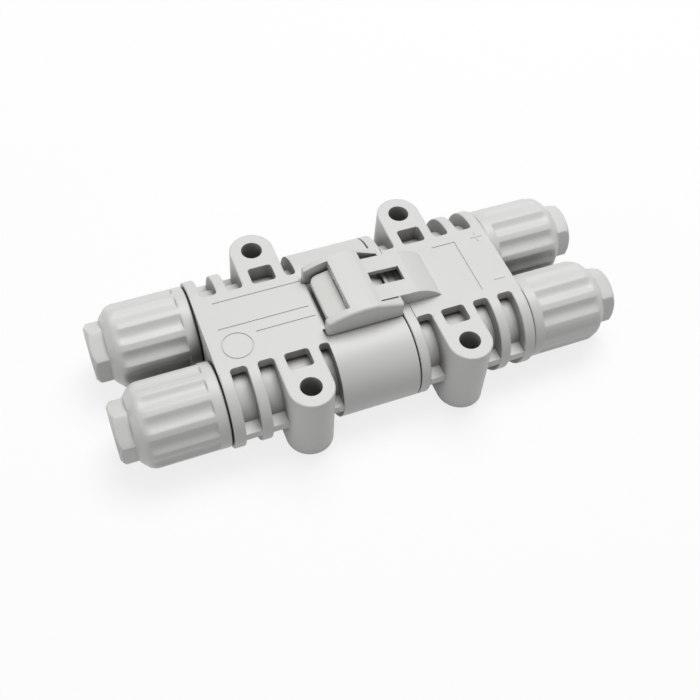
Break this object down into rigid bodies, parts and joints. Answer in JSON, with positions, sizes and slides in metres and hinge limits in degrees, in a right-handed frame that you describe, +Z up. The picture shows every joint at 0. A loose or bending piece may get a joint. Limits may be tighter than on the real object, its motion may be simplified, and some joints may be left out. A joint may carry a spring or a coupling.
{
  "type": "power connector",
  "caption": "Inline power connector with two parallel barrels, cable gland nuts, screw lugs, a mid joint with seals and a press-to-release latch under an arched hood.",
  "frame": {"origin": "bottom centre: midway between the lug holes, on the surface that the barrels rest on", "axes": "+X along the barrels towards the half with the hood, +Y across to the rear barrel, +Z up out of the top plate"},
  "size_m": [0.121, 0.0518, 0.027],
  "materials": {
    "housing_grey": "fine satin moulding",
    "lever_grey": "fine satin moulding",
    "nut_grey": "fine satin moulding",
    "claw_white": "satin",
    "seal_rubber": "matt",
    "contact_brass": "bright",
    "carrier_dark": "satin",
    "screw_steel": "zinc plated"
  },
  "bodies": {
    "connector": {"left_housing": "housing_grey", "right_housing": "housing_grey", "front_left_gland_seal": "seal_rubber", "rear_left_gland_seal": "seal_rubber", "front_right_gland_seal": "seal_rubber", "rear_right_gland_seal": "seal_rubber", "front_contact_pin": "contact_brass", "front_contact_socket": "contact_brass", "front_pin_carrier": "carrier_dark", "front_socket_carrier": "carrier_dark", "front_face_seal": "seal_rubber", "front_nose_oring": "seal_rubber", "front_left_terminal_screw": "screw_steel", "front_right_terminal_screw": "screw_steel", "rear_contact_pin": "contact_brass", "rear_contact_socket": "contact_brass", "rear_pin_carrier": "carrier_dark", "rear_socket_carrier": "carrier_dark", "rear_face_seal": "seal_rubber", "rear_nose_oring": "seal_rubber", "rear_left_terminal_screw": "screw_steel", "rear_right_terminal_screw": "screw_steel"},
    "release_lever": {"release_lever": "lever_grey"},
    "front_left_claw": {"front_left_clamping_claw": "claw_white"},
    "front_left_nut": {"front_left_gland_nut": "nut_grey"},
    "rear_left_claw": {"rear_left_clamping_claw": "claw_white"},
    "rear_left_nut": {"rear_left_gland_nut": "nut_grey"},
    "front_right_claw": {"front_right_clamping_claw": "claw_white"},
    "front_right_nut": {"front_right_gland_nut": "nut_grey"},
    "rear_right_claw": {"rear_right_clamping_claw": "claw_white"},
    "rear_right_nut": {"rear_right_gland_nut": "nut_grey"}
  },
  "joints": [
    {"name": "release_press", "type": "hinge", "parent": "connector", "child": "release_lever", "pos_m": [-0.003, 0, 0.0227], "axis": [0, -1, 0], "range_deg": [0, 9], "stiffness_Nm_per_rad": 0.05, "springref_deg": -2.86},
    {"name": "front_left_nut_turn", "type": "hinge", "parent": "front_left_claw", "child": "front_left_nut", "pos_m": [-0.0486, -0.01125, 0.01055], "axis": [-1, 0, 0], "range_deg": [0, 720]},
    {"name": "front_left_nut_travel", "type": "slide", "parent": "connector", "child": "front_left_claw", "axis": [-1, 0, 0], "range_m": [0, 0.003]},
    {"name": "rear_left_nut_turn", "type": "hinge", "parent": "rear_left_claw", "child": "rear_left_nut", "pos_m": [-0.0486, 0.01125, 0.01055], "axis": [-1, 0, 0], "range_deg": [0, 720]},
    {"name": "rear_left_nut_travel", "type": "slide", "parent": "connector", "child": "rear_left_claw", "axis": [-1, 0, 0], "range_m": [0, 0.003]},
    {"name": "front_right_nut_turn", "type": "hinge", "parent": "front_right_claw", "child": "front_right_nut", "pos_m": [0.0486, -0.01125, 0.01055], "axis": [1, 0, 0], "range_deg": [0, 720]},
    {"name": "front_right_nut_travel", "type": "slide", "parent": "connector", "child": "front_right_claw", "axis": [1, 0, 0], "range_m": [0, 0.003]},
    {"name": "rear_right_nut_turn", "type": "hinge", "parent": "rear_right_claw", "child": "rear_right_nut", "pos_m": [0.0486, 0.01125, 0.01055], "axis": [1, 0, 0], "range_deg": [0, 720]},
    {"name": "rear_right_nut_travel", "type": "slide", "parent": "connector", "child": "rear_right_claw", "axis": [1, 0, 0], "range_m": [0, 0.003]}
  ],
  "couplings": [
    {"joint": "front_left_nut_turn", "follows": "front_left_nut_travel", "rad_per_m": 4188.8},
    {"joint": "rear_left_nut_turn", "follows": "rear_left_nut_travel", "rad_per_m": 4188.8},
    {"joint": "front_right_nut_turn", "follows": "front_right_nut_travel", "rad_per_m": 4188.8},
    {"joint": "rear_right_nut_turn", "follows": "rear_right_nut_travel", "rad_per_m": 4188.8}
  ]
}
